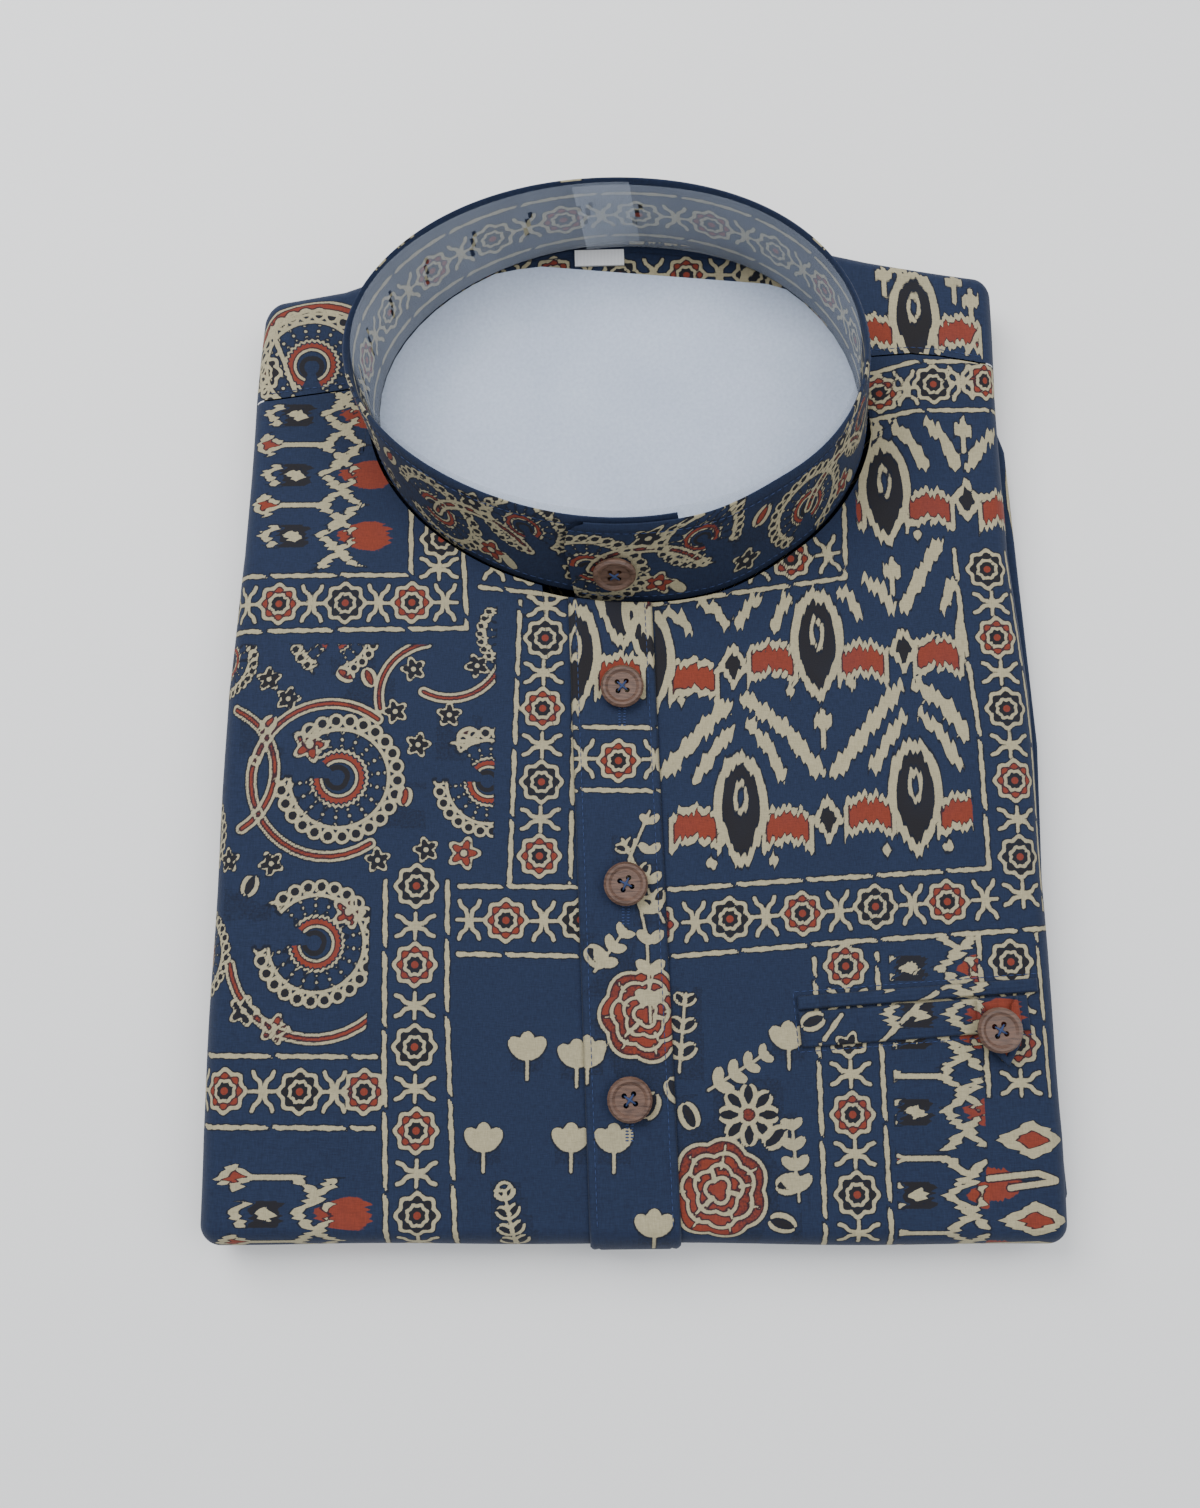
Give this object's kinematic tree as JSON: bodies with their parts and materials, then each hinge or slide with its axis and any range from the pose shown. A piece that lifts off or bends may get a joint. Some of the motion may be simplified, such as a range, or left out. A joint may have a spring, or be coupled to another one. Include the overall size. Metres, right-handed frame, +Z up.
{
  "type": "folded kurta tunic with band collar on a clear support strip and neck paper",
  "caption": "Printed cotton kurta folded flat for sale, its band collar standing in a ring round a paper insert, with a buttoned placket and a welt pocket.",
  "frame": {"origin": "on the surface the folded garment lies on, under the middle of its overall box", "axes": "+X is the wearer's left, +Y runs from the bottom fold up to the collar, +Z is up, away from the surface"},
  "size_m": [0.2474, 0.3109, 0.0497],
  "materials": {
    "printed_cotton": "matt plain-weave cotton, indigo ground with block-print and ikat motifs in cream, brick red and charcoal",
    "button_wood": "turned and lightly polished dark brown wood",
    "clear_strip": "thin clear plastic, glossy",
    "tissue_paper": "thin uncoated fibrous paper, slightly translucent",
    "label_tape": "white twill tape, bare"
  },
  "bodies": {
    "root": {"folded_layers": "printed_cotton", "front_right": "printed_cotton", "front_left": "printed_cotton", "yoke": "printed_cotton", "yoke_lining": "printed_cotton", "sleeve_left": "printed_cotton", "placket": "printed_cotton", "collar_band": "printed_cotton", "collar_support_strip": "clear_strip", "neck_paper": "tissue_paper", "size_label": "label_tape", "pocket_welt_upper": "printed_cotton", "pocket_welt_lower": "printed_cotton", "pocket_loop": "printed_cotton", "placket_button_1": "button_wood", "placket_button_2": "button_wood", "placket_button_3": "button_wood", "pocket_button": "button_wood", "collar_button": "button_wood"}
  },
  "joints": []
}
